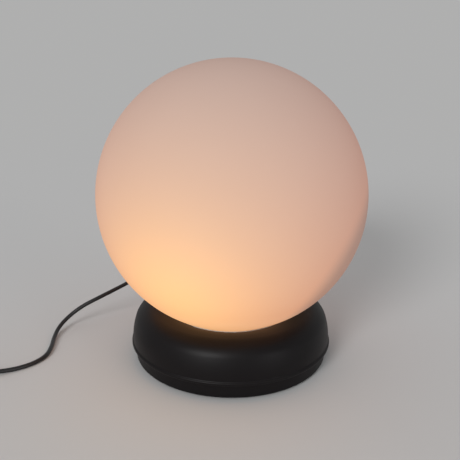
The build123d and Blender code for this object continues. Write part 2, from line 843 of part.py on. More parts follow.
def switch_lower():
    body = switch_pill(0, 0, switch_split)
    body = fillet(body.edges().group_by(Axis.Z)[0], 2.0)
    body -= switch_pill(switch_wall, switch_wall, switch_split + 1)
    for x, y in switch_screws:
        body += Pos(x, y, 0) * rod(switch_post_radius, 0.5, switch_split)
        body -= Pos(x, y, 0) * rod(switch_screw_radius + screw_fit, -1, switch_split + 1)
        body -= Pos(x, y, 0) * rod(switch_head_radius + thin_gap, -1, switch_head_depth)
    return switch_frame * (body - switch_cord_cut())


def switch_cord_cut():
    return Pos(0, 0, switch_cord_height) * Rot(0, 90, 0) * Cylinder(cord_radius + close_fit, switch_length + 2)


def switch_upper():
    ceiling = switch_height - switch_wall
    body = switch_pill(0, switch_split, switch_height)
    body = fillet(body.edges().group_by(Axis.Z)[-1], 3.0)
    body -= switch_pill(switch_wall, switch_split - 1, ceiling)
    opening = (2 * (rocker_half[0] + 2 * rocker_gap), 2 * pivot_side, 20)
    body -= block(opening, (0, 0, switch_height))
    for side in (-1, 1):
        body += block((ear_width, ear_thickness, ceiling - ear_bottom),
                      (0, side * (pivot_side + ear_thickness / 2), (ceiling + ear_bottom) / 2))
    for x, y in switch_screws:
        body += Pos(x, y, 0) * rod(switch_post_radius, switch_split, ceiling)
        body -= Pos(x, y, 0) * rod(switch_screw_radius + close_fit, switch_split - 1, ceiling - 0.6)
    body -= Pos(0, 0, pivot_height) * Rot(90, 0, 0) * Cylinder(
        pivot_radius + close_fit, 2 * (pivot_side + 0.7 * ear_thickness))
    return switch_frame * (body - switch_cord_cut())


def switch_screw_set():
    length = switch_height - switch_wall - switch_head_depth - 1.5
    screw = Rot(180, 0, 0) * cross_screw(switch_screw_radius, length, switch_head_radius, 0.8 * switch_head_depth)
    return switch_frame * Compound([Pos(x, y, switch_head_depth) * screw for x, y in switch_screws])


def switch_pin():
    return switch_frame * (Pos(0, 0, pivot_height) * Rot(90, 0, 0) * Cylinder(
        pivot_radius, 2 * (pivot_side + 0.6 * ear_thickness)))


def switch_rocker():
    # Two faces that meet in a shallow valley, a bore for the pin and a nub below
    length, half_width = rocker_half
    face = make_face(Polyline((-length, -2.6), (length, -2.6), (length, 3.4), (0, 2.1), (-length, 3.4),
                              close=True))
    body = extrude(Plane.XZ * face, half_width, both=True)
    body = fillet(body.edges().filter_by(Axis.Y).group_by(Axis.Z)[-1], 0.5)
    nub = block((2.4, 3.0, 3.4), (0, 0, -3.6))
    body += fillet(nub.edges().filter_by(Axis.Y).group_by(Axis.Z)[0], 1.0)
    body -= Rot(90, 0, 0) * Cylinder(pivot_radius + close_fit, 20)
    return switch_frame * Pos(0, 0, pivot_height) * Rot(0, rocker_tilt, 0) * body


def switch_contacts():
    # A fixed strip and a sprung strip, each with a terminal block
    strips = []
    for side in (-1, 1):
        terminal = block(terminal_size, (terminal_x * side, terminal_y, switch_wall + terminal_size[2] / 2))
        bore = Rot(0, 90, 0) * Cylinder(core_radius + thin_gap, 2 * terminal_size[0])
        terminal -= Pos(terminal_x * side, terminal_y, terminal_bore_height) * bore
        strip = block((8.0, 4.0, 0.5), (6.2 * side, terminal_y, switch_wall + 0.25 + 0.3 * (side + 1)))
        strips.append(terminal + strip)
    return switch_frame * Compound(strips)


def switch_cores():
    # One core runs through, the other is cut and ends in the terminals
    reach = switch_length / 2 - cord_grip
    height = switch_cord_height
    through = core_wire([(-reach, core_offset, height), (3 - reach, core_offset, height), (-terminal_x, 5.6, 4.6),
                         (0, 6.2, 4.2), (terminal_x, 5.6, 4.6), (reach - 3, core_offset, height),
                         (reach, core_offset, height)])
    cut = []
    for side in (-1, 1):
        cut.append(core_wire([(reach * side, -core_offset, height), ((reach - 3) * side, -core_offset, height),
                              ((terminal_x + 4) * side, terminal_y, terminal_bore_height),
                              ((terminal_x - 1) * side, terminal_y, terminal_bore_height)]))
    return switch_frame * Compound([through] + cut)


def core_wire(points):
    points = [Vector(*p) for p in points]
    radii = [min(r, 6.0) * 0.8 for r in corner_radii(points)]
    return tube_along(FilletPolyline(*points, radius=radii), core_radius)


def switch_cord_ends():
    # The sheath's two ends gripped inside the switch
    ends = []
    for side in (-1, 1):
        place = Pos(side * (switch_length - cord_grip) / 2, 0, switch_cord_height) * Rot(0, 90, 0)
        ends.append(place * Cylinder(cord_radius, cord_grip))
    return switch_frame * Compound(ends)


plug_frame = Plane(origin=(plug_centre_x, plug_start, plug_thickness / 2), x_dir=(1, 0, 0), z_dir=(0, 1, 0))


def plug_body():
    # Tapered boot, then a flat body that is widest at its face. Local -Y is up.
    face = boot_length + plug_length
    half = plug_width / 2
    outline = Polyline((-half * 0.42, boot_length - 2), (half * 0.42, boot_length - 2),
                       (half * 0.72, boot_length + 11), (half, face - 9), (half, face), (-half, face),
                       (-half, face - 9), (-half * 0.72, boot_length + 11), close=True)
    flat = extrude(Plane(origin=(0, 0, 0), x_dir=(1, 0, 0), z_dir=(0, -1, 0)) * make_face(outline),
                   plug_thickness / 2, both=True)
    side_edges = flat.edges().filter_by(Axis.Y)
    flat = fillet(side_edges, plug_corner)
    flat = chamfer(flat.faces().filter_by(Axis.Y).edges(), plug_edge)
    thin = cord_radius + boot_wall
    boot = turned((0, 0), (thin, 0), (thin + boot_flare, boot_length + 1), (0, boot_length + 1))
    for i in range(4):
        boot -= ring(thin - thin_gap, plug_width / 2, 3 + 5 * i, 4.8 + 5 * i)
    body = flat + boot
    body -= rod(cord_radius + close_fit, -1, boot_length + boot_grip)
    for side in (-1, 1):
        body -= Pos(side * pin_spacing / 2, 0, 0) * rod(pin_radius + close_fit, face - pin_seat, face + 1)
    return plug_frame * body


def plug_cord_end():
    return plug_frame * rod(cord_radius, 0, boot_length + boot_grip - thin_gap)


def plug_pins():
    face = boot_length + plug_length
    waist = pin_radius - pin_waist
    pin = rod(pin_radius, face - pin_seat + thin_gap, face) + rod(waist, face, face + sleeve_length)
    tip = rod(pin_radius, face + sleeve_length, face + pin_length)
    pin += fillet(tip.edges().group_by(Axis.Z)[-1], 1.4)
    return plug_frame * Compound([Pos(side * pin_spacing / 2, 0, 0) * pin for side in (-1, 1)])


def plug_sleeves():
    face = boot_length + plug_length
    sleeve = ring(pin_radius - pin_waist + close_fit, pin_radius - sleeve_step, face, face + sleeve_length)
    return plug_frame * Compound([Pos(side * pin_spacing / 2, 0, 0) * sleeve for side in (-1, 1)])


pieces = {
    "globe": globe,
    "globe_gasket": globe_gasket,
    "base_shell": base_shell,
    "shell_lugs": shell_lugs,
    "base_pan": base_pan,
    "foot_ring": foot_ring,
    "ballast_weight": ballast,
    "pan_screws": pan_screws,
    "lampholder_bracket": holder_bracket,
    "bracket_screws": bracket_screws,
    "threaded_tube": threaded_tube,
    "tube_washer": tube_washer,
    "tube_nut_lower": tube_nut_lower,
    "tube_nut_upper": tube_nut_upper,
    "lampholder_cap": holder_cap,
    "lampholder_skirt": holder_skirt,
    "lampholder_core": holder_core,
    "lampholder_screw_sleeve": holder_sleeve,
    "lampholder_contacts": holder_contacts,
    "bulb_glass": bulb_glass,
    "bulb_cap": bulb_cap,
    "bulb_insulator": bulb_insulator,
    "bulb_tip": bulb_tip,
    "bulb_stem": bulb_stem,
    "bulb_wires": bulb_wires,
    "bulb_filament": bulb_filament,
    "cord_gland": cord_gland,
    "cord_inlet": cord_inlet,
    "cord_clamp": cord_clamp,
    "cord_clamp_screws": cord_clamp_screws,
    "lead_live": lambda: lead(1),
    "lead_neutral": lambda: lead(-1),
    "cord_to_switch": lambda: cord_tube("cord_to_switch", outer_cord_points(), cord_radius),
    "cord_to_coil": lambda: cord_tube("cord_to_coil", coil_lead_points(), cord_radius),
    "cord_coil": cord_coil,
    "cord_tie": cord_tie,
    "cord_to_plug": lambda: cord_tube("cord_to_plug", plug_lead_points(), cord_radius),
    "switch_lower": switch_lower,
    "switch_upper": switch_upper,
    "switch_screws": switch_screw_set,
    "switch_pin": switch_pin,
    "switch_rocker": switch_rocker,
    "switch_contacts": switch_contacts,
    "switch_cores": switch_cores,
    "switch_cord_ends": switch_cord_ends,
    "plug_body": plug_body,
    "plug_cord_end": plug_cord_end,
    "plug_pins": plug_pins,
    "plug_sleeves": plug_sleeves,
}

os.makedirs("parts", exist_ok=True)
for node, make in pieces.items():
    export_step(make(), "parts/" + node + ".step")
    print("wrote", node)
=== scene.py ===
import json
import math

import bmesh
import bpy
from mathutils import Matrix, Vector


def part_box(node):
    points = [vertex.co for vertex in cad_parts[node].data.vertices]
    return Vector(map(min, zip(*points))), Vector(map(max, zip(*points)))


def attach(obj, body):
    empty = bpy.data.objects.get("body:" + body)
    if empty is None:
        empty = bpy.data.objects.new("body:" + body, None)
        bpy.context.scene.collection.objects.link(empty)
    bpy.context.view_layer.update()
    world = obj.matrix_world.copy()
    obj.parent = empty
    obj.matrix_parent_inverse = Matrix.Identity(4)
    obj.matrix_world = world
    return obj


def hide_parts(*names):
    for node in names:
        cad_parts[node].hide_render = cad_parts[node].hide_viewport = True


# A globe table lamp: a lit satin opal globe in a squat black base, with its cord, switch and plug.
# Metres, +Z up, front towards -Y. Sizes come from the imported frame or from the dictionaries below.

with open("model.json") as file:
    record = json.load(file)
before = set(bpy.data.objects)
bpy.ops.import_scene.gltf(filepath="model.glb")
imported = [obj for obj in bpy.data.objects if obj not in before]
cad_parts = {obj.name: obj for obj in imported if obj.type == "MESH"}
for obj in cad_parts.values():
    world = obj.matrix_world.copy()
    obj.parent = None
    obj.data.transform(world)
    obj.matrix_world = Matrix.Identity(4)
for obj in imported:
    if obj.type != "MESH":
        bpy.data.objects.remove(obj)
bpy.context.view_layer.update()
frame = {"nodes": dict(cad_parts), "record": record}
nodes = frame["nodes"]
mm = 0.001
print("frame loaded,", len(nodes), "nodes")


# Camera

view = {
    "place": (0.0, -0.6774, 0.3573),
    "heading": 0.1483,
    "tilt": 73.0654,
    "roll": 0.4059,
    "focal": 48.52,
    "sensor": 36.0,
}


def turned(degrees, axis):
    return Matrix.Rotation(math.radians(degrees), 4, axis)


def makeCamera():
    data = bpy.data.cameras.new("camera")
    data.lens = view["focal"]
    data.sensor_width = view["sensor"]
    eye = bpy.data.objects.new("camera", data)
    aim = turned(view["heading"], "Z") @ turned(view["tilt"], "X") @ turned(view["roll"], "Z")
    eye.matrix_world = Matrix.Translation(view["place"]) @ aim
    bpy.context.scene.collection.objects.link(eye)
    bpy.context.scene.camera = eye


makeCamera()
print("camera placed")


# Shader maths: a wrapped socket takes plain arithmetic, and a finish adds the nodes

class Sock:
    def __init__(self, finish, socket):
        self.finish = finish
        self.socket = socket
        self.isVector = socket.type == "VECTOR"

    def __add__(self, other):
        return self.finish.calc("ADD", self, other)

    def __sub__(self, other):
        return self.finish.calc("SUBTRACT", self, other)

    def __rsub__(self, other):
        return self.finish.calc("SUBTRACT", other, self)

    def __mul__(self, other):
        return self.finish.calc("MULTIPLY", self, other)

    def __rmul__(self, other):
        return self.finish.calc("MULTIPLY", other, self)

    def __truediv__(self, other):
        return self.finish.calc("DIVIDE", self, other)

    def __pow__(self, other):
        return self.finish.calc("POWER", self, other)

    def length(self):
        return self.finish.add("ShaderNodeVectorMath", {"operation": "LENGTH"}, {0: self}, "Value")

    def dot(self, other):
        settings = {"operation": "DOT_PRODUCT"}
        return self.finish.add("ShaderNodeVectorMath", settings, {0: self, 1: other}, "Value")


class Finish:
    def __init__(self, name, constants):
        self.material = bpy.data.materials.new(name)
        self.material.use_nodes = True
        self.tree = self.material.node_tree
        self.shader = self.tree.nodes["Principled BSDF"]
        self.coords = self.add("ShaderNodeTexCoord", output="Object")
        for key, value in constants.items():
            self.set(key, value)

    def feed(self, socket, value):
        if isinstance(value, Sock):
            self.tree.links.new(value.socket, socket)
        elif socket.type == "RGBA":
            socket.default_value = (*value[:3], 1.0)
        else:
            socket.default_value = value

    def set(self, key, value):
        self.feed(self.shader.inputs[key], value)

    def add(self, kind, settings=None, inputs=None, output=0):
        node = self.tree.nodes.new(kind)
        for key, value in (settings or {}).items():
            setattr(node, key, value)
        for key, value in (inputs or {}).items():
            self.feed(node.inputs[key], value)
        return Sock(self, node.outputs[output])

    def calc(self, operation, *values):
        vectors = [v for v in values if isinstance(v, tuple) or isinstance(v, Sock) and v.isVector]
        if not vectors:
            return self.add("ShaderNodeMath", {"operation": operation}, dict(enumerate(values)))
        if len(vectors) == 1 and operation == "MULTIPLY":
            factor = values[1] if values[0] is vectors[0] else values[0]
            return self.add("ShaderNodeVectorMath", {"operation": "SCALE"}, {0: vectors[0], "Scale": factor})
        return self.add("ShaderNodeVectorMath", {"operation": operation}, dict(enumerate(values)))

    def mix(self, factor, first, second):
        # The colour sockets of a Mix node are numbers 6 and 7 in and 2 out
        return self.add("ShaderNodeMix", {"data_type": "RGBA"}, {0: factor, 6: first, 7: second}, 2)

    def step(self, value, low, high, start=0.0, end=1.0):
        settings = {"interpolation_type": "SMOOTHSTEP"}
        return self.add("ShaderNodeMapRange", settings,
                        {"Value": value, "From Min": low, "From Max": high, "To Min": start, "To Max": end})

    def noise(self, grain, detail=2.0, stretch=None):
        # Grain is the size of a patch, in metres
        place = self.coords
        if stretch:
            place = self.calc("MULTIPLY", place, stretch)
        return self.add("ShaderNodeTexNoise", None, {"Vector": place, "Scale": 1 / grain, "Detail": detail})

    def cells(self, grain):
        return self.add("ShaderNodeTexVoronoi", None, {"Vector": self.coords, "Scale": 1 / grain}, "Distance")

    def roughen(self, middle, *parts):
        # Roughness about a middle value. Each part is a noise and how wide it spreads
        rough = middle - sum(spread for noise, spread in parts) / 2
        for noise, spread in parts:
            rough = noise * spread + rough
        self.set("Roughness", rough)

    def bump(self, height, depth):
        inputs = {"Height": height, "Distance": depth, "Strength": 1.0}
        self.set("Normal", self.add("ShaderNodeBump", None, inputs, "Normal"))


# Satin opal glass, glowing from the bulb inside

globeLow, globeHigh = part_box("globe")
globeRadius = globeHigh.x
globeHeight = globeHigh.z - globeRadius

opal = {
    "body": (0.328, 0.320, 0.316),
    "clouding": 0.05,
    "cloudSize": 70 * mm,
    "roughness": 0.62,
    "roughSpread": 0.06,
    "specular": 0.0,
    "grain": 0.6 * mm,
    "grainDepth": 0.006 * mm,
    "source": (-0.0258, -0.0592, -0.0344),  # of the glow, from the globe's centre
    "glow": (0.166, 0.087, 0.001),
    "haze": (0.234, 0.069, 0.064),
    "climb": (-0.114, -0.026, -0.012),  # added to the haze towards the top
    "belly": (0.093, 0.112, 0.084),  # light thrown back by the base
    "bellyStart": -0.62,  # heights here are in globe radii
    "bellyEnd": -0.91,
    "paintedShadeAt": (0.849, -0.011, -0.528),  # towards the side of the painted shade on the glow
    "paintedShadeStart": 0.69,
    "paintedShadeEnd": 0.855,
    "paintedShadeFull": -0.25,  # the painted shade is whole at the front, and fades away behind
    "paintedShadeGone": 0.60,
    "paintedShadeDepth": 0.46,
    "seedSpacing": 60 * mm,
    "seedSize": 0.012,
    "seedShade": 0.85,
    "strength": 1.0,
}


def opalGlass():
    finish = Finish("opalGlass", {"Emission Strength": opal["strength"],
                                  "Specular IOR Level": opal["specular"]})
    place = (finish.coords - (0.0, 0.0, globeHeight)) * (1 / globeRadius)
    source = Vector(opal["source"]) / globeRadius
    reach = (place - tuple(source)).length()
    spread = (reach * reach + (1 - source.length_squared)) / (2 * reach ** 3)
    height = place.dot((0.0, 0.0, 1.0))
    behind = place.dot((0.0, 1.0, 0.0))
    # Painted shade: the glow is darkened on a patch at the lower right, standing in for shadow
    paintedShade = finish.step(place.dot(opal["paintedShadeAt"]), opal["paintedShadeStart"], opal["paintedShadeEnd"])
    shade = 1.0 - paintedShade * finish.step(behind, opal["paintedShadeGone"], opal["paintedShadeFull"], 0.0, opal["paintedShadeDepth"])
    belly = finish.step(height, opal["bellyStart"], opal["bellyEnd"])
    light = (spread * opal["glow"] + opal["haze"] + height * opal["climb"]) * shade + belly * opal["belly"]
    speck = finish.step(finish.cells(opal["seedSpacing"]), 0.0, opal["seedSize"], opal["seedShade"], 1.0)
    finish.set("Emission Color", light * speck)
    cloud = finish.noise(opal["cloudSize"], detail=3.0)
    dim = tuple(c * (1 - opal["clouding"]) for c in opal["body"])
    finish.set("Base Color", finish.mix(cloud, opal["body"], dim))
    fine = finish.noise(opal["grain"], detail=1.0)
    finish.roughen(opal["roughness"], (fine, opal["roughSpread"]))
    finish.bump(fine, opal["grainDepth"])
    return finish.material


# Painted base

paint = {
    "colour": (0.0034, 0.0026, 0.0032),
    "worn": (0.0050, 0.0039, 0.0047),
    "domeRoughness": 0.46,
    "panRoughness": 0.52,
    "smudge": 45 * mm,
    "smudgeRough": 0.08,
    "peel": 1.1 * mm,
    "peelRough": 0.04,
    "peelDepth": 0.01 * mm,
    "specular": 0.19,
}


def painted(name, roughness):
    finish = Finish(name, {"Specular IOR Level": paint["specular"]})
    smudge = finish.noise(paint["smudge"], detail=3.0)
    peel = finish.noise(paint["peel"], detail=1.5)
    finish.set("Base Color", finish.mix(smudge, paint["colour"], paint["worn"]))
    finish.roughen(roughness, (smudge, paint["smudgeRough"]), (peel, paint["peelRough"]))
    finish.bump(peel, paint["peelDepth"])
    return finish.material


def satinPaint():
    return painted("satinPaint", paint["domeRoughness"])


def mattePaint():
    return painted("mattePaint", paint["panRoughness"])


# Moulded plastics, rubber and the bulb's black glass, by slot

plastics = {
    "cord_sheath": {
        "name": "sheath", "colour": (0.012, 0.012, 0.0135), "roughness": 0.36,
        "grain": 1.2 * mm, "depth": 0.02 * mm, "specular": 0.4,
    },
    "holder_plastic": {
        "name": "holderPlastic", "colour": (0.03, 0.03, 0.032), "roughness": 0.32,
        "grain": 0.9 * mm, "depth": 0.02 * mm,
    },
    "switch_plastic": {
        "name": "switchPlastic", "colour": (0.018, 0.018, 0.020), "roughness": 0.45,
        "grain": 0.5 * mm, "depth": 0.03 * mm, "specular": 0.4,
    },
    "rocker_plastic": {
        "name": "rockerPlastic", "colour": (0.02, 0.02, 0.022), "roughness": 0.38,
        "grain": 2.0 * mm, "depth": 0.01 * mm,
    },
    "plug_plastic": {
        "name": "plugPlastic", "colour": (0.016, 0.016, 0.018), "roughness": 0.42,
        "grain": 0.6 * mm, "depth": 0.03 * mm, "specular": 0.4,
    },
    "gasket_silicone": {
        "name": "gasketRubber", "colour": (0.60, 0.58, 0.55), "roughness": 0.55,
        "grain": 1.0 * mm, "depth": 0.02 * mm, "specular": 0.4,
    },
    "core_brown": {
        "name": "coreBrown", "colour": (0.20, 0.075, 0.03), "roughness": 0.38,
        "grain": 1.0 * mm, "depth": 0.02 * mm,
    },
    "core_blue": {
        "name": "coreBlue", "colour": (0.03, 0.10, 0.34), "roughness": 0.38,
        "grain": 1.0 * mm, "depth": 0.02 * mm,
    },
    "bulb_black_glass": {
        "name": "blackGlass", "colour": (0.02, 0.02, 0.025), "roughness": 0.12,
        "grain": 2.0 * mm, "depth": 0.02 * mm,
    },
}

moulding = {"patch": 30 * mm, "patchRough": 0.08, "grainRough": 0.06, "brighten": 1.25, "lift": 0.002}


def moulded(name, colour, roughness, grain, depth, specular=0.5):
    finish = Finish(name, {"Specular IOR Level": specular})
    texture = finish.noise(grain)
    patch = finish.noise(moulding["patch"])
    lighter = tuple(c * moulding["brighten"] + moulding["lift"] for c in colour)
    finish.set("Base Color", finish.mix(patch, colour, lighter))
    finish.roughen(roughness, (patch, moulding["patchRough"]), (texture, moulding["grainRough"]))
    finish.bump(texture, depth)
    return finish.material


# Felt under the base, and the lampholder's ceramic core

felt = {
    "colour": (0.045, 0.045, 0.046),
    "fluff": (0.11, 0.11, 0.112),
    "fibre": 0.7 * mm,
    "fibreDepth": 0.3 * mm,
    "roughness": 0.95,
    "sheen": 0.4,
    "sheenRoughness": 0.6,
    "specular": 0.1,
}


def footFelt():
    finish = Finish("footFelt", {"Sheen Weight": felt["sheen"], "Sheen Roughness": felt["sheenRoughness"],
                                 "Specular IOR Level": felt["specular"], "Roughness": felt["roughness"]})
    fibre = finish.noise(felt["fibre"], detail=4.0)
    finish.set("Base Color", finish.mix(fibre, felt["colour"], felt["fluff"]))
    finish.bump(fibre, felt["fibreDepth"])
    return finish.material


ceramic = {
    "colour": (0.80, 0.78, 0.74),
    "fleck": (0.70, 0.67, 0.62),
    "grain": 0.6 * mm,
    "grainDepth": 0.04 * mm,
    "roughness": 0.70,
    "roughSpread": 0.20,
    "specular": 0.4,
}


def whiteCeramic():
    finish = Finish("whiteCeramic", {"Specular IOR Level": ceramic["specular"]})
    speckle = finish.noise(ceramic["grain"], detail=3.0)
    finish.set("Base Color", finish.mix(speckle, ceramic["colour"], ceramic["fleck"]))
    finish.roughen(ceramic["roughness"], (speckle, ceramic["roughSpread"]))
    finish.bump(speckle, ceramic["grainDepth"])
    return finish.material


# Metals, by slot

metals = {
    "zinc_steel": {"name": "zincSteel", "colour": (0.60, 0.61, 0.62), "roughness": 0.35},
    "steel_screw": {"name": "screwSteel", "colour": (0.55, 0.55, 0.56), "roughness": 0.31},
    "brass": {"name": "brass", "colour": (0.76, 0.58, 0.28), "roughness": 0.29},
    "bulb_cap_nickel": {"name": "nickelCap", "colour": (0.74, 0.72, 0.68), "roughness": 0.31},
    "pin_nickel": {
        "name": "nickelPin", "colour": (0.74, 0.72, 0.68), "roughness": 0.21,
        "grain": 0.3 * mm, "stretch": (1.0, 0.08, 1.0),
    },
    "bulb_wire": {"name": "wireMetal", "colour": (0.55, 0.54, 0.52), "roughness": 0.36},
    "solder": {
        "name": "solderTin", "colour": (0.66, 0.66, 0.67), "roughness": 0.39,
        "grain": 1.5 * mm, "stretch": (1.0, 1.0, 1.0), "depth": 0.06 * mm,
    },
}

brushing = {"stain": 12 * mm, "darken": 0.86, "brushRough": 0.14, "stainRough": 0.08}


def metal(name, colour, roughness, grain=0.4 * mm, stretch=(1.0, 1.0, 0.08), depth=0.004 * mm):
    finish = Finish(name, {"Metallic": 1.0})
    brushed = finish.noise(grain, 3.0, stretch)
    stain = finish.noise(brushing["stain"], detail=3.0)
    dark = tuple(c * brushing["darken"] for c in colour)
    finish.set("Base Color", finish.mix(stain, dark, colour))
    finish.roughen(roughness, (brushed, brushing["brushRough"]), (stain, brushing["stainRough"]))
    finish.bump(brushed, depth)
    return finish.material


iron = {
    "colour": (0.12, 0.12, 0.125),
    "rust": (0.17, 0.13, 0.11),
    "rustPatch": 20 * mm,
    "rustStart": 0.50,
    "rustEnd": 0.75,
    "grain": 1.2 * mm,
    "grainDepth": 0.2 * mm,
    "roughness": 0.625,
    "roughSpread": 0.25,
    "metallic": 0.4,
    "specular": 0.4,
}


def castIron():
    finish = Finish("castIron", {"Metallic": iron["metallic"], "Specular IOR Level": iron["specular"]})
    sand = finish.noise(iron["grain"], detail=5.0)
    rust = finish.step(finish.noise(iron["rustPatch"], detail=4.0), iron["rustStart"], iron["rustEnd"])
    finish.set("Base Color", finish.mix(rust, iron["colour"], iron["rust"]))
    finish.roughen(iron["roughness"], (sand, iron["roughSpread"]))
    finish.bump(sand, iron["grainDepth"])
    return finish.material


# Bulb

bulb = {
    "glass": (0.98, 0.98, 0.97),
    "ior": 1.46,
    "haze": 10 * mm,
    "roughness": 0.02,
    "roughSpread": 0.03,
    "filament": (0.9, 0.6, 0.3),
    "cooler": (1.0, 0.52, 0.18),
    "hotter": (1.0, 0.70, 0.34),
    "windings": 0.6 * mm,
    "filamentStrength": 8.0,
}


def bulbGlass():
    finish = Finish("bulbGlass", {"Transmission Weight": 1.0, "IOR": bulb["ior"],
                                  "Base Color": bulb["glass"]})
    haze = finish.noise(bulb["haze"], detail=3.0)
    finish.roughen(bulb["roughness"], (haze, bulb["roughSpread"]))
    return finish.material


def hotFilament():
    finish = Finish("hotFilament", {"Emission Strength": bulb["filamentStrength"],
                                    "Base Color": bulb["filament"]})
    windings = finish.noise(bulb["windings"], detail=1.0)
    finish.set("Emission Color", finish.mix(windings, bulb["cooler"], bulb["hotter"]))
    return finish.material


finishOf = {
    "opal_glass": opalGlass, "base_paint": satinPaint, "pan_paint": mattePaint, "cast_ballast": castIron,
    "foot_pad": footFelt, "holder_ceramic": whiteCeramic, "bulb_glass": bulbGlass, "filament": hotFilament,
}
materials = {slot: make() for slot, make in finishOf.items()}
materials.update({slot: moulded(**look) for slot, look in plastics.items()})
materials.update({slot: metal(**look) for slot, look in metals.items()})


def paintNodes():
    for part in frame["record"]["subparts"]:
        node = nodes[part["node"]]
        node.data.materials.clear()
        node.data.materials.append(materials[part["material_slot"]])


paintNodes()
print("finishes made:", len(materials))


# Mesh helpers

spinning = {"segments": 256, "sharp": 50.0, "onAxis": 0.001 * mm}


def bendPath(start, heading, steps, arcStep):
    # Places and headings along runs (length,) and bends (radius, angle), each tangent to the one before
    place = Vector(start)
    path = [(place, heading)]
    for step in steps:
        if len(step) == 1:
            place = place + step[0] * compass(heading)
            path.append((place, heading))
            continue
        radius, angle = step
        side = math.copysign(1, angle)
        centre = place + side * radius * compass(heading + 90)
        count = max(2, math.ceil(abs(angle) / arcStep))
        for k in range(1, count + 1):
            now = heading + angle * k / count
            path.append((centre - side * radius * compass(now + 90), now))
        heading += angle
        place = path[-1][0]
    return path


def compass(heading):
    return Vector((math.cos(math.radians(heading)), math.sin(math.radians(heading))))


def roundEnd(place, heading, half, radius, steps=8):
    # From the right face round to the left face of a sheet that ends in a bead
    reach = 180 - math.degrees(math.asin(half / radius))
    return [place + radius * compass(heading - reach + 2 * reach * k / steps) for k in range(steps + 1)]


def spunMesh(name, outline):
    # A closed outline turned about the Z axis. A point on the axis becomes one vertex
    segments = spinning["segments"]
    mesh = bmesh.new()
    rings = []
    for point in outline:
        if point.x < spinning["onAxis"]:
            pole = mesh.verts.new((0, 0, point.y))
            rings.append([pole] * segments)
            continue
        ring = []
        for k in range(segments):
            spot = point.x * compass(360 * k / segments)
            ring.append(mesh.verts.new((spot.x, spot.y, point.y)))
        rings.append(ring)
    for lower, upper in zip(rings, rings[1:] + rings[:1]):
        for k in range(segments):
            n = (k + 1) % segments
            corners = list(dict.fromkeys((lower[k], lower[n], upper[n], upper[k])))
            if len(corners) > 2:
                mesh.faces.new(corners)
    bmesh.ops.recalc_face_normals(mesh, faces=mesh.faces)
    data = bpy.data.meshes.new(name)
    mesh.to_mesh(data)
    mesh.free()
    data.shade_smooth()
    data.set_sharp_from_angle(angle=math.radians(spinning["sharp"]))
    return data


def newPiece(name, data, body, slot, *replaced):
    piece = bpy.data.objects.new(name, data)
    bpy.context.scene.collection.objects.link(piece)
    data.materials.append(materials[slot])
    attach(piece, body)
    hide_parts(*replaced)
    return piece


# Globe

glass = {
    "wall": 3.0 * mm,
    "neckRadius": 60.0 * mm,
    "neckFillet": 5.0 * mm,
    "bead": 2.2 * mm,
    "beadSteps": 16,
    "arcStep": 1.5,  # degrees
}


def makeGlobe():
    half = glass["wall"] / 2
    fillet = glass["neckFillet"]
    middle = globeRadius - half
    neck = glass["neckRadius"] - half
    bottom = globeLow.z + glass["bead"]
    filletX = neck + fillet
    filletZ = globeHeight - math.sqrt((middle + fillet) ** 2 - filletX ** 2)
    flare = math.degrees(math.acos(filletX / (middle + fillet)))
    steps = [(filletZ - bottom,), (fillet, -flare), (middle, 90 + flare)]
    path = bendPath((neck, bottom), 90, steps, glass["arcStep"])
    top = globeHeight + middle
    right = [p - half * compass(h + 90) for p, h in path[1:-1]]
    left = [p + half * compass(h + 90) for p, h in path[1:-1]]
    bead = roundEnd(path[0][0], -90, half, glass["bead"], glass["beadSteps"])
    poles = [Vector((0, top + half)), Vector((0, top - half))]
    outline = right + poles + left[::-1] + bead
    return newPiece("opal_globe", spunMesh("opal_globe", outline), "globe", "opal_glass", "globe")


makeGlobe()
print("globe made")


# Base shell, spun from sheet with a rolled hem

shellLow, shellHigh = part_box("base_shell")
shell = {
    "sheet": 1.2 * mm,
    "hemBend": 0.7 * mm,
    "flareRun": 1.2 * mm,
    "flareAngle": 55.0,
    "sideFoot": 6.2 * mm,  # above the hem's underside
    "crestInset": 24.0 * mm,
    "shoulder": 20.0 * mm,
    "lipSlope": 22.0,
    "lipBend": 2.0 * mm,
    "wellDepth": 11.7 * mm,
    "ledgeWidth": 5.5 * mm,
    "ledgeBend": 1.5 * mm,
    "gasketMargin": 0.5 * mm,
    "arcStep": 2.0,  # degrees
    "hemArcStep": 6.0,
    "glandHole": 4.3 * mm,
    "glandHoleSides": 48,
    "glandHoleDepth": 40 * mm,
    "exitAzimuth": 115.0,
    "exitHeight": 31.0 * mm,
}


def shellPath():
    half = shell["sheet"] / 2
    rim = shellHigh.x
    hemBend = shell["hemBend"]
    crest = shellHigh.z - half
    crestRadius = rim - shell["crestInset"]
    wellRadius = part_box("globe_gasket")[1].x + shell["gasketMargin"]
    wall = wellRadius + half
    slope = math.radians(shell["lipSlope"])
    lipBend = shell["lipBend"] - half
    lipRadius = wall + lipBend * (1 - math.sin(slope))
    topRadius = (crestRadius - lipRadius) / math.sin(slope)
    lipHeight = crest - topRadius * (1 - math.cos(slope))
    ledge = shellHigh.z - shell["wellDepth"] - half
    ledgeBend = shell["ledgeBend"]
    wellRise = lipHeight - lipBend * math.cos(slope) - ledge - ledgeBend
    hole = wellRadius - shell["ledgeWidth"]
    reach = rim - half - 2 * hemBend - crestRadius
    shoulder = shell["shoulder"] - half
    sideFoot = shellLow.z + shell["sideFoot"]
    drop = crest - shoulder - sideFoot
    sideRadius = (reach ** 2 + drop ** 2 - shoulder ** 2) / (2 * (reach - shoulder))
    turn = math.degrees(math.atan2(drop, sideRadius - reach))
    steps = [
        (wall - ledgeBend - hole - half,), (ledgeBend, 90), (wellRise,),
        (lipBend, shell["lipSlope"] - 90), (topRadius, -shell["lipSlope"]),
        (shoulder, turn - 90), (sideRadius, -turn),
    ]
    return bendPath((hole + half, ledge), 0, steps, shell["arcStep"])


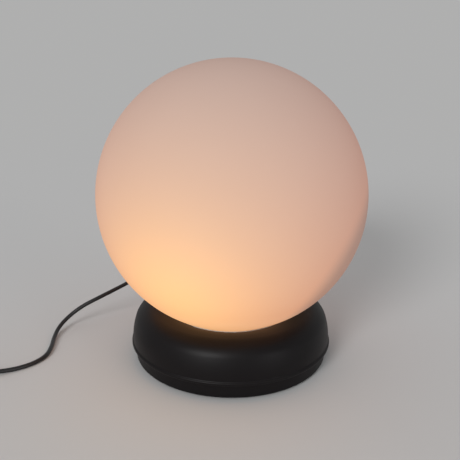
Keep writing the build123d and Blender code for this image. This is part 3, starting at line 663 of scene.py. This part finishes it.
def hemPath(side):
    # Outer face from the side's foot out over the rolled hem and in under it. Paint fills the fold
    fold = shell["hemBend"] + shell["sheet"] / 2
    angle = shell["flareAngle"]
    shift = shellHigh.x - side.x
    flare = shift / 2 / (1 - math.cos(math.radians(angle)))
    drop = side.y - shellLow.z - fold - shell["flareRun"] - 2 * flare * math.sin(math.radians(angle))
    steps = [(shell["flareRun"],), (flare, angle), (flare, -angle), (drop,), (fold, -180)]
    return [place for place, heading in bendPath(side, -90, steps, shell["hemArcStep"])]


def glandCutter():
    mesh = bmesh.new()
    radius = shell["glandHole"]
    bmesh.ops.create_cone(mesh, cap_ends=True, segments=shell["glandHoleSides"],
                          radius1=radius, radius2=radius, depth=shell["glandHoleDepth"])
    aim = turned(shell["exitAzimuth"], "Z") @ turned(90, "Y")
    middle = shellHigh.x * compass(shell["exitAzimuth"])
    mesh.transform(Matrix.Translation((middle.x, middle.y, shell["exitHeight"])) @ aim)
    data = bpy.data.meshes.new("cutter")
    mesh.to_mesh(data)
    mesh.free()
    cutter = bpy.data.objects.new("cutter", data)
    bpy.context.scene.collection.objects.link(cutter)
    return cutter


def cutHole(data, cutter):
    blank = bpy.data.objects.new("blank", data)
    bpy.context.scene.collection.objects.link(blank)
    cut = blank.modifiers.new("cut", "BOOLEAN")
    cut.operation = "DIFFERENCE"
    cut.solver = "EXACT"
    cut.object = cutter
    depsgraph = bpy.context.evaluated_depsgraph_get()
    result = bpy.data.meshes.new_from_object(blank.evaluated_get(depsgraph))
    bpy.data.objects.remove(blank)
    bpy.data.objects.remove(cutter)
    result.name = data.name
    result.materials.clear()
    result.set_sharp_from_angle(angle=math.radians(spinning["sharp"]))
    return result


def makeShell():
    half = shell["sheet"] / 2
    path = shellPath()
    under = [p - half * compass(h + 90) for p, h in path[1:]]
    over = [p + half * compass(h + 90) for p, h in path[1:]]
    edge = roundEnd(path[0][0], 180, half, half)
    outline = under + hemPath(over[-1])[:0:-1] + over[::-1] + edge
    data = cutHole(spunMesh("dome_shell", outline), glandCutter())
    return newPiece("dome_shell", data, "base", "base_paint", "base_shell")


makeShell()
print("base shell made")


# Cord: from the gland round behind the globe to the switch, then through the coil to the plug

cord = {"diameter": 5.0 * mm, "roundness": 8, "smoothness": 12, "toSwitch": 0.407, "toPlug": 1.35}

coil = {
    "centre": (-0.3595, -0.005),
    "inner": 23.0 * mm,
    "spacing": 5.6 * mm,
    "turns": 6,
    "floor": 3.75 * mm,
    "blend": 0.25,
    "perTurn": 16,
}

toSwitch = [
    (-0.0621, 0.1332, 0.031), (-0.0706, 0.1514, 0.031), (-0.088, 0.166, 0.035), (-0.110, 0.163, 0.040),
    (-0.126, 0.142, 0.043), (-0.134, 0.114, 0.044), (-0.149, 0.092, 0.042), (-0.171, 0.073, 0.036),
    (-0.194, 0.065, 0.026), (-0.211, 0.058, 0.014), (-0.220, 0.043, 0.006), (-0.220, 0.021, 0.0026),
    (-0.2165, -0.002, 0.0025), (-0.216, -0.025, 0.0025), (-0.226, -0.044, 0.0025), (-0.243, -0.057, 0.0026),
    (-0.261, -0.067, 0.0046), (-0.278, -0.071, 0.007), (-0.294, -0.071, 0.007), (-0.302, -0.071, 0.007),
]

toCoil = [
    (-0.348, -0.071, 0.007), (-0.356, -0.071, 0.007), (-0.374, -0.071, 0.007), (-0.3895, -0.0625, 0.0054),
    (-0.3986, -0.0465, 0.0038), (-0.3986, -0.026, 0.00375),
]

toPlug = [
    (-0.3986, 0.012, 0.00935), (-0.3992, 0.025, 0.0082), (-0.3986, 0.038, 0.00685), (-0.3986, 0.050, 0.00685),
    (-0.3986, 0.0808, 0.00685),
]


def coilPoint(turn, widen):
    # In on the lower layer, up one layer while the spiral reverses, out on the upper layer
    half = coil["turns"] / 2
    blend = coil["blend"]
    away = abs(turn - half)
    if away < blend:
        spread = away ** 2 / (2 * blend)
        share = (turn - half + blend) / (2 * blend)
        rise = share ** 2 * (3 - 2 * share)
    else:
        spread = away - blend / 2
        rise = 0.0 if turn < half else 1.0
    spot = widen * (coil["inner"] + coil["spacing"] * spread) * compass(180 - 360 * turn)
    return (coil["centre"][0] + spot.x, coil["centre"][1] + spot.y, coil["floor"] + coil["spacing"] * rise)


def coilPoints():
    # Corners of the many-sided figure that the turns touch from inside
    count = coil["perTurn"]
    widen = 1 / math.cos(math.pi / count)
    return [coilPoint((i + 0.5) / count, widen) for i in range(count * coil["turns"])]


def makeCord(name, points, *replaced):
    curve = bpy.data.curves.new(name, "CURVE")
    curve.dimensions = "3D"
    curve.bevel_depth = cord["diameter"] / 2
    curve.bevel_resolution = cord["roundness"]
    curve.resolution_u = cord["smoothness"]
    curve.use_fill_caps = True
    spline = curve.splines.new("NURBS")
    spline.points.add(len(points) - 1)
    for point, place in zip(spline.points, points):
        point.co = (*place, 1.0)
    spline.order_u = 3
    spline.use_endpoint_u = True
    spline.use_smooth = True
    return newPiece(name, curve, "base", "cord_sheath", *replaced)


firstCord = makeCord("cord_behind_lamp", toSwitch, "cord_to_switch")
secondCord = makeCord("cord_put_away", toCoil + coilPoints() + toPlug,
                      "cord_to_coil", "cord_coil", "cord_to_plug", "switch_cord_ends", "plug_cord_end")
print("cords made")


# Stage

stage = {
    "floor": 0.62,
    "floorReach": 12.0,
    "backdrop": (0.43, 0.43, 0.428),
    "fadeStart": 0.9,
    "fadeEnd": 2.2,
    "ambient": 0.48,
    "floorRoughness": 0.9,
    "floorSpecular": 0.1,
}

suns = {
    "key": {"azimuth": -27.0, "elevation": 24.0, "strength": 1.55, "size": 20.0},
    "fill": {"azimuth": 46.0, "elevation": 6.0, "strength": 0.34, "size": 18.0},
}


def seenRay(finish):
    path = finish.add("ShaderNodeLightPath").socket.node
    rays = [Sock(finish, path.outputs[n]) for n in ("Is Camera Ray", "Is Glossy Ray", "Is Transmission Ray")]
    return finish.calc("MINIMUM", rays[0] + rays[1] + rays[2], 1.0)


def makeFloor():
    mesh = bmesh.new()
    bmesh.ops.create_grid(mesh, x_segments=1, y_segments=1, size=stage["floorReach"])
    data = bpy.data.meshes.new("floor")
    mesh.to_mesh(data)
    mesh.free()
    floor = bpy.data.objects.new("floor", data)
    bpy.context.scene.collection.objects.link(floor)
    finish = Finish("floor", {"Base Color": (stage["floor"],) * 3, "Roughness": stage["floorRoughness"],
                              "Specular IOR Level": stage["floorSpecular"]})
    far = finish.step(finish.coords.length(), stage["fadeStart"], stage["fadeEnd"])
    plain = finish.add("ShaderNodeEmission", None, {"Color": stage["backdrop"], "Strength": 1.0})
    both = finish.add("ShaderNodeMixShader", None,
                      {0: far * seenRay(finish), 1: Sock(finish, finish.shader.outputs[0]), 2: plain})
    finish.tree.links.new(both.socket, finish.tree.nodes["Material Output"].inputs["Surface"])
    data.materials.append(finish.material)


class WorldFinish(Finish):
    def __init__(self, world):
        self.tree = world.node_tree


def makeWorld():
    world = bpy.data.worlds.new("studio")
    world.use_nodes = True
    bpy.context.scene.world = world
    finish = WorldFinish(world)
    background = finish.tree.nodes["Background"]
    soft = (stage["ambient"],) * 3
    finish.feed(background.inputs["Color"], finish.mix(seenRay(finish), soft, stage["backdrop"]))
    background.inputs["Strength"].default_value = 1.0


def addSun(name, azimuth, elevation, strength, size):
    light = bpy.data.lights.new(name, "SUN")
    light.energy = strength
    light.angle = math.radians(size)
    lamp = bpy.data.objects.new(name, light)
    lamp.matrix_world = turned(azimuth, "Z") @ turned(90 - elevation, "X")
    bpy.context.scene.collection.objects.link(lamp)


makeFloor()
makeWorld()
for name, sun in suns.items():
    addSun(name, **sun)
bpy.context.scene.view_settings.view_transform = "Standard"
print("stage set")
